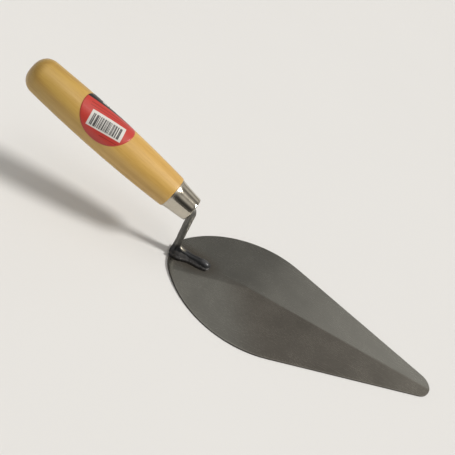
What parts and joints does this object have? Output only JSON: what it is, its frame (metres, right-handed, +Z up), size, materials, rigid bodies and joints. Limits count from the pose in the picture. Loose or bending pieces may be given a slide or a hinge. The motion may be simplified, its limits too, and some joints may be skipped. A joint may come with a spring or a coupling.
{
  "type": "brick trowel",
  "caption": "Brick trowel with a rounded-heel pointed steel blade, a cranked shank welded on the heel, a plated ferrule and a turned wooden handle with a round label.",
  "frame": {"origin": "on the ground, under the centre of the trowel's bounding box, with the rim of the blade lying on the ground", "axes": "+X from the handle's butt towards the toe of the blade, +Y to the left of a person who holds the handle and looks at the toe, +Z up, out of the top face of the blade"},
  "size_m": [0.4072, 0.1222, 0.1125],
  "materials": {
    "blade_steel": "ground grey steel with a thin coat of clear lacquer, satin",
    "shank_steel": "forged steel, dark grey scale, semi-matt",
    "weld_metal": "weld metal blackened by heat and lacquered, glossy",
    "plated_ferrule": "bright nickel plate",
    "varnished_wood": "pale hardwood under clear amber varnish, semi-gloss",
    "label_paper": "printed paper, red with a black cap and a white panel of plain bars, satin"
  },
  "bodies": {
    "root": {"blade": "blade_steel", "shank": "shank_steel", "weld": "weld_metal", "ferrule": "plated_ferrule", "handle": "varnished_wood", "label": "label_paper"}
  },
  "joints": []
}
